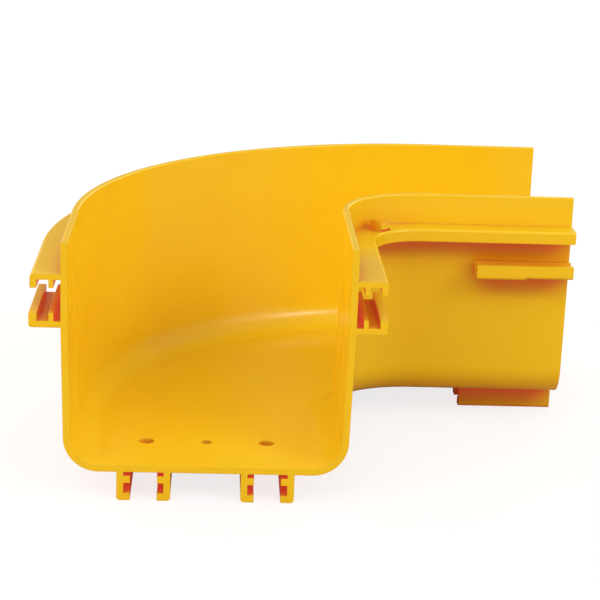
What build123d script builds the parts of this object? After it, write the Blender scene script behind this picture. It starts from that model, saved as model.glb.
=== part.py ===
from build123d import *
import math
import os

# Right-angle fitting for a fibre raceway: an open-topped U channel that turns a
# level corner, moulded as one piece. The plan is the same on both sides of the
# corner's diagonal, so both openings take the same straight channel and coupler.
# Millimetres. While it is built, the front opening lies in the plane Y = 0 with
# the channel's centre line at X = 0, the side opening faces +X, and Z = 0 is the
# floor's underside. The finished part stands on Z = 0 with its box centred on the
# Z axis.

# Channel section
CHANNEL_WIDTH = 109.5
CHANNEL_HEIGHT = 88.7
WALL = 2.6
FLOOR = 2.6
BOTTOM_RADIUS = 13.4
WALL_DRAFT_DEG = 1.2
RIM_ROUND = 0.6

# Plan: from an opening to the other leg's centre line, and the two bends
LEG_REACH = 151.0
INNER_BEND_RADIUS = 34.0
OUTER_BEND_RADIUS = 154.0

# Upper ledge, right round both walls, set down from the rim
RIM_ABOVE_LEDGE = 12.1
UPPER_LEDGE_REACH = 11.3
UPPER_LEDGE_PLATE = 2.1
UPPER_LIP_DROP = 5.2
UPPER_LIP_WIDTH = 2.5
UPPER_LEDGE_ROUND = 1.1

# Lower ledge, one length at each wall end, with its lip facing the upper one's
LIP_GAP = 9.7
LOWER_LEDGE_REACH = 11.8
LOWER_LEDGE_PLATE = 2.3
LOWER_LIP_RISE = 5.4
LOWER_LIP_WIDTH = 3.0
LOWER_LEDGE_ROUND = 1.2
PAD_DEPTH = 0.6
PAD_LENGTH = 20.4

# Rib along the middle of each ledge, beside the wall
RIB_WIDTH = 1.8
RIB_STANDOFF = 2.6

# Straight tracks for the couplers and hangers, at each opening
TRACK_LENGTH = 40.4

# Rails under the floor, in facing pairs that make a slot for a bolt's head
RAIL_PAIR_OFFSET = 23.5
RAIL_PAIR_WIDTH = 20.4
RAIL_DROP = 11.4
RAIL_WEB = 2.6
RAIL_TOOTH_REACH = 2.5
RAIL_TOOTH_GAP = 1.6
RAIL_TOOTH_HEIGHT = 2.8
RAIL_FLANGE_HEIGHT = 2.9
RAIL_CORNER_RADIUS = 1.4

# Fixing holes through the floor, one row at each opening
HOLE_ROW_INSET = 27.4
SIDE_HOLE_DIAMETER = 6.0
MIDDLE_HOLE_DIAMETER = 4.3

# Cover catch in the inside corner: a ramp on the upper ledge, square to the diagonal
CATCH_HEIGHT = 4.1
CATCH_LENGTH = 11.2
CATCH_DEPTH = 6.0
CATCH_LEAD = 2.8
CATCH_EDGE_MARGIN = 1.1
CATCH_UNDERCUT = 0.8

# How far a working shape runs past what it cuts or joins
PAST = 20.0
BITE = 0.4

HALF_WIDTH = CHANNEL_WIDTH / 2
INSIDE_CORNER_RADIUS = INNER_BEND_RADIUS - WALL
UPPER_LEDGE_TOP = CHANNEL_HEIGHT - RIM_ABOVE_LEDGE
UPPER_PLATE_BASE = UPPER_LEDGE_TOP - UPPER_LEDGE_PLATE
UPPER_LIP_BASE = UPPER_LEDGE_TOP - UPPER_LIP_DROP
LOWER_LIP_TOP = UPPER_LIP_BASE - LIP_GAP
LOWER_LEDGE_BASE = LOWER_LIP_TOP - LOWER_LIP_RISE
LOWER_PLATE_TOP = LOWER_LEDGE_BASE + LOWER_LEDGE_PLATE


def across(shape):
    """The same shape on the other side of the corner's diagonal."""
    middle = LEG_REACH / 2
    return mirror(shape, about=Plane(origin=(middle, middle, 0), x_dir=(1, -1, 0), z_dir=(1, 1, 0)))


def plan_outline(grow, past=0.0):
    """The plan inside both walls' outer faces, moved out by grow and past the openings."""
    side = HALF_WIDTH + grow
    inner = INSIDE_CORNER_RADIUS - grow
    outer = OUTER_BEND_RADIUS + grow
    far = LEG_REACH + side
    near = LEG_REACH - side
    end = LEG_REACH + past
    sag = 1 - math.sqrt(0.5)
    inner_middle = (side + inner * sag, near - inner * sag)
    outer_middle = (-side + outer * sag, far - outer * sag)
    with BuildSketch() as sketch:
        with BuildLine():
            Line((-side, -past), (side, -past))
            Line((side, -past), (side, near - inner))
            ThreePointArc((side, near - inner), inner_middle, (side + inner, near))
            Line((side + inner, near), (end, near))
            Line((end, near), (end, far))
            Line((end, far), (outer - side, far))
            ThreePointArc((outer - side, far), outer_middle, (-side, far - outer))
            Line((-side, far - outer), (-side, -past))
        make_face()
    return sketch.sketch


def slab(grow, low, high, past=0.0):
    """The plan at one size, between two heights."""
    return Pos(0, 0, low) * extrude(plan_outline(grow, past), high - low)


def strip(inner_grow, outer_grow, low, high):
    """A strip beside both walls, between two distances from their outer faces."""
    ring = plan_outline(outer_grow) - plan_outline(inner_grow)
    return Pos(0, 0, low) * extrude(ring, high - low)


def wall_edges(face):
    """The edges of a level face that follow the walls, without its ends at the openings."""
    return face.edges().filter_by(lambda e: e.center().Y > BITE and e.center().X < LEG_REACH - BITE)


def drafted_filling(grow, low, high, radius):
    """What would fill the channel: drafted sides below the ledges and a rounded bottom."""
    depth = LOWER_LEDGE_BASE - low
    lower = extrude(plan_outline(grow, PAST), depth, dir=(0, 0, -1), taper=WALL_DRAFT_DEG)
    filling = Pos(0, 0, LOWER_LEDGE_BASE) * lower + slab(grow, LOWER_LEDGE_BASE, high, PAST)
    bottom = filling.faces().sort_by(Axis.Z)[0]
    long_edges = bottom.edges().filter_by(
        lambda e: e.center().Y > -PAST / 2 and e.center().X < LEG_REACH + PAST / 2
    )
    return fillet(long_edges, radius)


def between_openings():
    """All the space on the part's own side of both opening planes."""
    size = 4 * (LEG_REACH + CHANNEL_WIDTH)
    block = Box(size, size, size, align=(Align.MAX, Align.MIN, Align.CENTER))
    return Pos(LEG_REACH, 0, 0) * block


def channel():
    """The U channel: floor, two walls, the rounds between them and the rounded rims."""
    outside = drafted_filling(0, 0, CHANNEL_HEIGHT, BOTTOM_RADIUS)
    inside = drafted_filling(-WALL, FLOOR, CHANNEL_HEIGHT + PAST, BOTTOM_RADIUS - WALL)
    shell = (outside - inside) & between_openings()
    rims = shell.faces().filter_by_position(Axis.Z, CHANNEL_HEIGHT - BITE, CHANNEL_HEIGHT + BITE)
    edges = ShapeList([e for rim in rims for e in wall_edges(rim)])
    return fillet(edges, RIM_ROUND)


def upper_ledge():
    """The upper ledge: a plate whose lip and rib hang down, right round both walls."""
    block = slab(UPPER_LEDGE_REACH, UPPER_LIP_BASE, UPPER_LEDGE_TOP)
    block = fillet(wall_edges(block.faces().sort_by(Axis.Z)[-1]), UPPER_LEDGE_ROUND)
    low = UPPER_LIP_BASE - BITE
    core = slab(-WALL / 2, low, UPPER_LEDGE_TOP + BITE)
    gap_outside = strip(
        RIB_STANDOFF + RIB_WIDTH, UPPER_LEDGE_REACH - UPPER_LIP_WIDTH, low, UPPER_PLATE_BASE
    )
    gap_inside = strip(-WALL / 2, RIB_STANDOFF, low, UPPER_PLATE_BASE)
    return block - core - gap_outside - gap_inside


def lower_ledge():
    """The lower ledges: plates whose lips and ribs stand up, along the tracks only."""
    block = slab(LOWER_LEDGE_REACH, LOWER_LEDGE_BASE, LOWER_LIP_TOP)
    block = fillet(wall_edges(block.faces().sort_by(Axis.Z)[0]), LOWER_LEDGE_ROUND)
    high = LOWER_LIP_TOP + BITE
    core = slab(-WALL / 2, LOWER_LEDGE_BASE - BITE, high)
    gap_outside = strip(
        RIB_STANDOFF + RIB_WIDTH, LOWER_LEDGE_REACH - LOWER_LIP_WIDTH, LOWER_PLATE_TOP, high
    )
    gap_inside = strip(-WALL / 2, RIB_STANDOFF, LOWER_PLATE_TOP, high)
    ledge = block - core - gap_outside - gap_inside
    size = 4 * (LEG_REACH + CHANNEL_WIDTH)
    front_track = Box(size, TRACK_LENGTH, size, align=(Align.CENTER, Align.MIN, Align.CENTER))
    return (ledge & front_track) + (ledge & across(front_track))


def lip_pads():
    """The thicker inner half of each lower lip: its underside set lower, with the same round."""
    pad = Box(LOWER_LIP_WIDTH, PAD_LENGTH, PAD_DEPTH + LOWER_LEDGE_ROUND + BITE,
              align=(Align.MAX, Align.MAX, Align.MIN))
    outer_edge = pad.edges().filter_by(Axis.Y).group_by(Axis.Z)[0].sort_by(Axis.X)[-1]
    pad = fillet(outer_edge, LOWER_LEDGE_ROUND)
    right = Pos(HALF_WIDTH + LOWER_LEDGE_REACH, TRACK_LENGTH, LOWER_LEDGE_BASE - PAD_DEPTH) * pad
    return right + mirror(right, about=Plane.YZ)


def rail_section():
    """One rail in section: a web with a tooth and a flange on its right, below Z = 0."""
    reach = RAIL_WEB + RAIL_TOOTH_REACH
    tooth_base = RAIL_TOOTH_GAP + RAIL_TOOTH_HEIGHT
    web = Pos(0, BITE) * Rectangle(RAIL_WEB, RAIL_DROP + BITE, align=(Align.MIN, Align.MAX))
    tooth = Pos(0, -tooth_base) * Rectangle(reach, RAIL_TOOTH_HEIGHT, align=(Align.MIN, Align.MIN))
    flange = Pos(0, -RAIL_DROP) * Rectangle(reach, RAIL_FLANGE_HEIGHT, align=(Align.MIN, Align.MIN))
    section = web + tooth + flange
    heel = section.vertices().sort_by(Axis.Y)[:2].sort_by(Axis.X)[0]
    return fillet(heel, RAIL_CORNER_RADIUS)


def rails():
    """The rails under the front opening: two pairs, each with its slots facing in."""
    left = Plane.XZ * rail_section()
    left = extrude(left, TRACK_LENGTH, dir=(0, 1, 0))
    pair = Pos(-RAIL_PAIR_WIDTH / 2, 0, 0) * left
    pair = pair + mirror(pair, about=Plane.YZ)
    return Pos(-RAIL_PAIR_OFFSET, 0, 0) * pair + Pos(RAIL_PAIR_OFFSET, 0, 0) * pair


def fixing_holes():
    """Drills for the row of holes behind the front opening."""
    side = Cylinder(SIDE_HOLE_DIAMETER / 2, 4 * FLOOR)
    middle = Cylinder(MIDDLE_HOLE_DIAMETER / 2, 4 * FLOOR)
    row = Pos(-RAIL_PAIR_OFFSET, 0, 0) * side + Pos(RAIL_PAIR_OFFSET, 0, 0) * side + middle
    return Pos(0, HOLE_ROW_INSET, 0) * row


def cover_catch():
    """The ramp on the ledge in the inside corner, undercut along its free side."""
    centre_x = HALF_WIDTH + INSIDE_CORNER_RADIUS
    centre_y = LEG_REACH - centre_x
    diagonal = Plane(origin=(centre_x, centre_y, UPPER_LEDGE_TOP), x_dir=(-1, -1, 0), z_dir=(-1, 1, 0))
    free_side = diagonal.offset(INSIDE_CORNER_RADIUS - UPPER_LEDGE_REACH + CATCH_EDGE_MARGIN)
    foot = CATCH_LEAD - CATCH_LENGTH
    outline = Polygon(
        (foot, 0), (foot, -BITE), (CATCH_LEAD, -BITE), (CATCH_LEAD, CATCH_HEIGHT), align=None
    )
    undercut = Rectangle(CATCH_LENGTH, CATCH_UNDERCUT, align=(Align.CENTER, Align.MIN))
    ramp = extrude(free_side * outline, CATCH_DEPTH)
    return ramp - extrude(free_side * Pos(CATCH_LEAD, 0) * undercut, CATCH_UNDERCUT)


def fitting():
    """The whole moulding, with its base centre at the origin."""
    body = channel() + upper_ledge() + lower_ledge()
    for feature in (rails(), lip_pads()):
        body = body + feature + across(feature)
    body = body + cover_catch()
    holes = fixing_holes()
    body = body - holes - across(holes)
    ledge = max(UPPER_LEDGE_REACH, LOWER_LEDGE_REACH)
    overhang = HALF_WIDTH + ledge
    return Pos((overhang - LEG_REACH) / 2, -(overhang + LEG_REACH) / 2, RAIL_DROP) * body


body = fitting()
os.makedirs("parts", exist_ok=True)
export_step(body, "parts/elbow_body.step")
print("elbow_body", len(body.solids()), "solid,", round(body.volume), "cubic mm,", body.bounding_box())
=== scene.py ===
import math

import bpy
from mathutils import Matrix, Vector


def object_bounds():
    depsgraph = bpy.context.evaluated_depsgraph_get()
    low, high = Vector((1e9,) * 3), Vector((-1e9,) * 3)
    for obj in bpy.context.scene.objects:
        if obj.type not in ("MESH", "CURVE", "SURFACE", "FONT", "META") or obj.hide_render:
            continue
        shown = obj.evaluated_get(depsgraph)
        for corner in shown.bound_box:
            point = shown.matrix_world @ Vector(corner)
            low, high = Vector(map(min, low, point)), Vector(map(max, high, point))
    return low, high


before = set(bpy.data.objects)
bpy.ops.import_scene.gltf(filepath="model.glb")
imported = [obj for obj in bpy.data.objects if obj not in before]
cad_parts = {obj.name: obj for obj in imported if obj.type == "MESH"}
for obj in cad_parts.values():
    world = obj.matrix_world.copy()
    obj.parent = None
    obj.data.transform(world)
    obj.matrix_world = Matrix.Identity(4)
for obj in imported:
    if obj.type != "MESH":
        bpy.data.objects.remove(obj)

# %% [markdown]
# A right-angle elbow for fibre raceway, dressed for a studio photograph. The whole object is one yellow
# plastic moulding, so its shape comes ready from the CAD frame and this lesson is about what makes that
# shape look real: the plastic itself, the light that falls on it, and a camera that stands where the
# photographer's stood. The frame's box is kept straight away, because nothing done here may outgrow it.

cad_box = [list(corner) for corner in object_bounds()]
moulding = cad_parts["elbow_body"]
low, high = (Vector(corner) for corner in cad_box)
print("moulding is", [round(side * 1000, 1) for side in high - low], "mm, in",
      len(moulding.data.polygons), "triangles")

# %% [markdown]
# Every material here starts in the same way, with a shader, an output and the few helper nodes that the
# recipes below repeat. Short helpers keep each recipe readable. Noise on Object coordinates is the base of
# all the variation: it stays put on the part from every side, never runs out of resolution and needs no
# unwrapping, which an image texture would.

# %% Helpers for node trees
MILLIMETRE = 0.001


def new_material(name):
    """An empty node material: its tree and its output node."""
    material = bpy.data.materials.new(name)
    material.use_nodes = True
    tree = material.node_tree
    tree.nodes.clear()
    return material, tree, tree.nodes.new("ShaderNodeOutputMaterial")


def noise(tree, coordinates, size, detail=2.0):
    """Noise whose lumps are about one size across."""
    node = tree.nodes.new("ShaderNodeTexNoise")
    node.inputs["Scale"].default_value = 1 / size
    node.inputs["Detail"].default_value = detail
    tree.links.new(coordinates, node.inputs["Vector"])
    return node.outputs["Fac"]


def spread(tree, value, lowest, highest, start=0.3, end=0.7):
    """The value's range from start to end, spread from lowest to highest and held beyond them.

    Noise keeps mostly between 0.3 and 0.7, so those are the usual ends.
    """
    node = tree.nodes.new("ShaderNodeMapRange")
    node.inputs["From Min"].default_value = start
    node.inputs["From Max"].default_value = end
    node.inputs["To Min"].default_value = lowest
    node.inputs["To Max"].default_value = highest
    tree.links.new(value, node.inputs["Value"])
    return node.outputs["Result"]


def blend(tree, amount, first, second):
    """A colour that goes from first to second; each is a colour or another node's output."""
    node = tree.nodes.new("ShaderNodeMix")
    node.data_type = "RGBA"
    tree.links.new(amount, node.inputs["Factor"])
    for socket, colour in (("A", first), ("B", second)):
        if isinstance(colour, tuple):
            node.inputs[socket].default_value = colour
        else:
            tree.links.new(colour, node.inputs[socket])
    return node.outputs["Result"]


# %% [markdown]
# The plastic is coloured right through, so the pigment is the whole colour. It isn't perfectly even in a
# real moulding: two near yellows are blended by broad noise, which no eye picks out as a pattern but which
# keeps the large walls from looking painted.

# %% The pigment
PIGMENT = (0.95, 0.62, 0.012, 1)
PIGMENT_RICH = (0.94, 0.595, 0.011, 1)
PIGMENT_LUMP = 40 * MILLIMETRE

yellow_plastic, tree, output = new_material("moulded_yellow_plastic")
shader = tree.nodes.new("ShaderNodeBsdfPrincipled")
tree.links.new(shader.outputs["BSDF"], output.inputs["Surface"])
place = tree.nodes.new("ShaderNodeTexCoord").outputs["Object"]
pigment = blend(tree, spread(tree, noise(tree, place, PIGMENT_LUMP), 0, 1), PIGMENT, PIGMENT_RICH)
print("pigment lumps are", PIGMENT_LUMP * 1000, "mm across")

# %% [markdown]
# The telling part of this plastic's look is its gaps. Between the ledges, ribs and rails the light goes from
# yellow to yellow many times and also comes through the thin plates, and what is left of it is a deep
# orange red. Plain bounces give only part of that, and subsurface scattering adds little in gaps so
# narrow. So that shade is painted: an Ambient Occlusion node measures how far each point is shut in, the
# base colour turns to a painted red shade there, and the tightest places get a faint painted red glow that
# stands in for the light that comes through. On a wall the measure leans upwards, because what hangs over
# a point shuts it in most, and the open walls above the ledges stay free of the painted shade. On an
# underside it doesn't lean: it would look into the plastic itself and paint all of it red.

# %% Painted red shade and glow in the gaps
# Painted shade and painted glow: a red colour and a red emission stand in for light and shade in the gaps.
PAINTED_SHADE_RED = (0.66, 0.056, 0.021, 1)
PAINTED_GLOW_RED = (0.85, 0.12, 0.05, 1)
PAINTED_GLOW_STRENGTH = 0.24
GAP_REACH = 14 * MILLIMETRE
GAP_CLOSED, GAP_OPEN = 0.18, 0.76
PAINTED_GLOW_END = 0.5
UPWARD_LEAN = 1.3

normal = tree.nodes.new("ShaderNodeNewGeometry").outputs["Normal"]
axes = tree.nodes.new("ShaderNodeSeparateXYZ")
tree.links.new(normal, axes.inputs["Vector"])
upwards = tree.nodes.new("ShaderNodeCombineXYZ")
tree.links.new(spread(tree, axes.outputs["Z"], 0, UPWARD_LEAN, -1, 0), upwards.inputs["Z"])
lean = tree.nodes.new("ShaderNodeVectorMath")
tree.links.new(normal, lean.inputs[0])
tree.links.new(upwards.outputs["Vector"], lean.inputs[1])
skyward = tree.nodes.new("ShaderNodeVectorMath")
skyward.operation = "NORMALIZE"
tree.links.new(lean.outputs["Vector"], skyward.inputs[0])
cover = tree.nodes.new("ShaderNodeAmbientOcclusion")
cover.inputs["Distance"].default_value = GAP_REACH
tree.links.new(skyward.outputs["Vector"], cover.inputs["Normal"])
openness = spread(tree, cover.outputs["AO"], 0, 1, GAP_CLOSED, GAP_OPEN)
# Painted shade: the base colour turns to the painted red shade where the measure finds a point shut in.
tree.links.new(blend(tree, openness, PAINTED_SHADE_RED, pigment), shader.inputs["Base Color"])
# Painted glow: a faint red emission in the tightest gaps stands in for light coming through the thin plates.
shader.inputs["Emission Color"].default_value = PAINTED_GLOW_RED
tree.links.new(spread(tree, openness, PAINTED_GLOW_STRENGTH, 0, 0, PAINTED_GLOW_END), shader.inputs["Emission Strength"])
print("gaps are looked for within", GAP_REACH * 1000, "mm")

# %% [markdown]
# A polished mould leaves a smooth skin with a fairly sharp gloss. The gloss wanders a little where the
# plastic cooled unevenly, and very low waves keep long highlights from running dead straight. Every
# corner of a real moulding also has a small round that catches light. The CAD edges are sharp at this
# scale, and bevelling thousands of small faces could tear them, so a Bevel node rounds the shading
# instead, by about a third of a millimetre.

# %% The gloss and the rounded edges
PLASTIC_IOR = 1.43
GLOSS_LUMP = 18 * MILLIMETRE
SMOOTHEST, DULLEST = 0.15, 0.22
WAVE_LENGTH = 9 * MILLIMETRE
WAVE_DEPTH = 0.2 * MILLIMETRE
WAVE_STRENGTH = 0.10
EDGE_ROUND = 0.35 * MILLIMETRE
EDGE_SAMPLES = 6

shader.inputs["IOR"].default_value = PLASTIC_IOR
gloss = spread(tree, noise(tree, place, GLOSS_LUMP), SMOOTHEST, DULLEST)
tree.links.new(gloss, shader.inputs["Roughness"])
rounded = tree.nodes.new("ShaderNodeBevel")
rounded.samples = EDGE_SAMPLES
rounded.inputs["Radius"].default_value = EDGE_ROUND
waves = tree.nodes.new("ShaderNodeBump")
waves.inputs["Strength"].default_value = WAVE_STRENGTH
waves.inputs["Distance"].default_value = WAVE_DEPTH
tree.links.new(noise(tree, place, WAVE_LENGTH, detail=3.0), waves.inputs["Height"])
tree.links.new(rounded.outputs["Normal"], waves.inputs["Normal"])
tree.links.new(waves.outputs["Normal"], shader.inputs["Normal"])

moulding.data.materials.clear()
moulding.data.materials.append(yellow_plastic)
print("material", yellow_plastic.name, "has", len(tree.nodes), "nodes")

# %% [markdown]
# The catalogue picture shows the part on plain white. A large floor gives the same ground and keeps the
# soft shadow that says the part stands on something. A floor that is really white would throw light up
# under the ledges and wash out the dark undersides that the photograph has. So the camera sees a floor
# that glows softly up to white, while the part's own light meets a duller, warmer one.

# %% The floor
FLOOR_SIDE = 12.0
SEEN_FLOOR = (0.24, 0.24, 0.24, 1)
SEEN_GLOW = 0.79
BOUNCE_FLOOR = (0.57, 0.39, 0.30, 1)

floor_mesh = bpy.data.meshes.new("studio_floor")
edge = FLOOR_SIDE / 2
corners = [(-edge, -edge, 0), (edge, -edge, 0), (edge, edge, 0), (-edge, edge, 0)]
floor_mesh.from_pydata(corners, [], [(0, 1, 2, 3)])
studio_floor = bpy.data.objects.new("studio_floor", floor_mesh)
bpy.context.scene.collection.objects.link(studio_floor)

pale_floor, tree, output = new_material("pale_floor")
bounce = tree.nodes.new("ShaderNodeBsdfDiffuse")
bounce.inputs["Color"].default_value = BOUNCE_FLOOR
seen = tree.nodes.new("ShaderNodeBsdfDiffuse")
seen.inputs["Color"].default_value = SEEN_FLOOR
glow = tree.nodes.new("ShaderNodeEmission")
glow.inputs["Strength"].default_value = SEEN_GLOW
white = tree.nodes.new("ShaderNodeAddShader")
tree.links.new(seen.outputs["BSDF"], white.inputs[0])
tree.links.new(glow.outputs["Emission"], white.inputs[1])
by_ray = tree.nodes.new("ShaderNodeMixShader")
rays = tree.nodes.new("ShaderNodeLightPath")
tree.links.new(rays.outputs["Is Camera Ray"], by_ray.inputs["Fac"])
tree.links.new(bounce.outputs["BSDF"], by_ray.inputs[1])
tree.links.new(white.outputs["Shader"], by_ray.inputs[2])
tree.links.new(by_ray.outputs["Shader"], output.inputs["Surface"])
floor_mesh.materials.append(pale_floor)
print("floor is", FLOOR_SIDE, "m wide")

# %% [markdown]
# The light is a white tent with softboxes behind its cloth. Area lamps could stand for them, but patches
# painted on the world are at no distance, fade softly at their edges and cost no time. Each patch is a
# cone around one direction: full brightness inside the first angle, nothing outside the second. This cell
# only makes the two tools for that, a Math node and a patch.

# %% Tools for painting the tent
world = bpy.data.worlds.new("studio_tent")
bpy.context.scene.world = world
world.use_nodes = True
tent = world.node_tree
direction = tent.nodes.new("ShaderNodeTexCoord").outputs["Generated"]


def math_step(operation, first, second):
    """One Math node; each input is a number or another node's output."""
    node = tent.nodes.new("ShaderNodeMath")
    node.operation = operation
    for socket, value in zip(node.inputs, (first, second)):
        if isinstance(value, (int, float)):
            socket.default_value = value
        else:
            tent.links.new(value, socket)
    return node.outputs["Value"]


def softbox(azimuth, elevation, core, fade, strength):
    """A soft round patch of sky. Azimuth is from the part's front, turning to its right; in degrees."""
    turn, rise = math.radians(azimuth), math.radians(elevation)
    towards = tent.nodes.new("ShaderNodeVectorMath")
    towards.operation = "DOT_PRODUCT"
    towards.inputs[1].default_value = (
        math.sin(turn) * math.cos(rise), -math.cos(turn) * math.cos(rise), math.sin(rise))
    tent.links.new(direction, towards.inputs[0])
    patch = spread(tent, towards.outputs["Value"], 0, strength,
                   math.cos(math.radians(fade)), math.cos(math.radians(core)))
    patch.node.interpolation_type = "SMOOTHSTEP"
    return patch


# %% [markdown]
# Two wide boxes light the part from the front left and right, and a third from above them. In front of the
# right one hangs a small strong box, which draws the thin bright line along the round between floor and
# far wall. If the wide box were as bright as that, it would also show as a pale patch in the floor. A card
# behind the part takes light away there, so the ledges' tops don't turn chalky, and a warm box on each side
# of the card gives them their orange sheen instead. The cloth in between is dim, which keeps the yellow deep.

# %% The tent and its softboxes
TENT_GLOW = 0.42
WARM = (1.0, 0.78, 0.48, 1)

wide_right = softbox(50, 25, core=10, fade=32, strength=1.3)
small_right = softbox(50, 33, core=4, fade=12, strength=6.0)
wide_left = softbox(-50, 25, core=10, fade=32, strength=1.7)
overhead = softbox(0, 58, core=10, fade=32, strength=0.9)
dark_card = softbox(180, 12, core=15, fade=50, strength=-0.2)
warm_left = softbox(-140, 22, core=10, fade=35, strength=2.9)
warm_right = softbox(145, 22, core=10, fade=30, strength=2.0)

light = TENT_GLOW
for patch in (wide_right, small_right, wide_left, overhead, dark_card):
    light = math_step("ADD", patch, light)
warm_light = math_step("ADD", warm_left, warm_right)
print("world has", len(tent.nodes), "nodes")

# %% [markdown]
# Past the floor's far edge the camera would see the tent itself, so camera rays get plain white there.
# That changes only what is behind the part, never the light on it: every patch is switched off for those
# rays and a strength of one takes its place. The warm boxes need a Background of their own, since each has
# one colour, and the two Backgrounds are added together.

# %% White behind the part
camera_ray = tent.nodes.new("ShaderNodeLightPath").outputs["Is Camera Ray"]
other_ray = math_step("SUBTRACT", 1.0, camera_ray)
white_tent = tent.nodes["Background"]
white_tent.inputs["Color"].default_value = (1, 1, 1, 1)
tent.links.new(math_step("ADD", math_step("MULTIPLY", light, other_ray), camera_ray),
               white_tent.inputs["Strength"])
warm_tent = tent.nodes.new("ShaderNodeBackground")
warm_tent.inputs["Color"].default_value = WARM
tent.links.new(math_step("MULTIPLY", warm_light, other_ray), warm_tent.inputs["Strength"])
both = tent.nodes.new("ShaderNodeAddShader")
tent.links.new(white_tent.outputs["Background"], both.inputs[0])
tent.links.new(warm_tent.outputs["Background"], both.inputs[1])
tent.links.new(both.outputs["Shader"], tent.nodes["World Output"].inputs["Surface"])
print("world's last node is", both.name)

# %% [markdown]
# The photographer stood well back with a long lens, a little above the part and slightly rolled. These
# angles and distances were worked out from where the part's corners fall in the photograph. The camera's
# three directions are built one after another, so each can be checked by itself: forward from turn and
# tilt, then a level right and up, then both rolled about forward.

# %% The camera
CAMERA_PLACE = Vector((-40.54, -771.07, 269.65)) * MILLIMETRE
TURN, TILT, ROLL = math.radians(2.730), math.radians(15.917), math.radians(2.118)
LENS_MM = 112.12
SENSOR_MM = 36.0

forward = Vector((math.sin(TURN) * math.cos(TILT), math.cos(TURN) * math.cos(TILT), -math.sin(TILT)))
level_right = Vector((math.cos(TURN), -math.sin(TURN), 0))
level_up = level_right.cross(forward)
right = math.cos(ROLL) * level_right + math.sin(ROLL) * level_up
up = math.cos(ROLL) * level_up - math.sin(ROLL) * level_right
lens = bpy.data.cameras.new("photo_camera")
lens.sensor_width = SENSOR_MM
lens.lens = LENS_MM
camera = bpy.data.objects.new("photo_camera", lens)
camera.matrix_world = Matrix.Translation(CAMERA_PLACE) @ Matrix((right, up, -forward)).transposed().to_4x4()
bpy.context.scene.collection.objects.link(camera)
bpy.context.scene.camera = camera
bpy.context.scene.view_settings.view_transform = "Standard"
print("lens", round(lens.lens, 1), "mm")
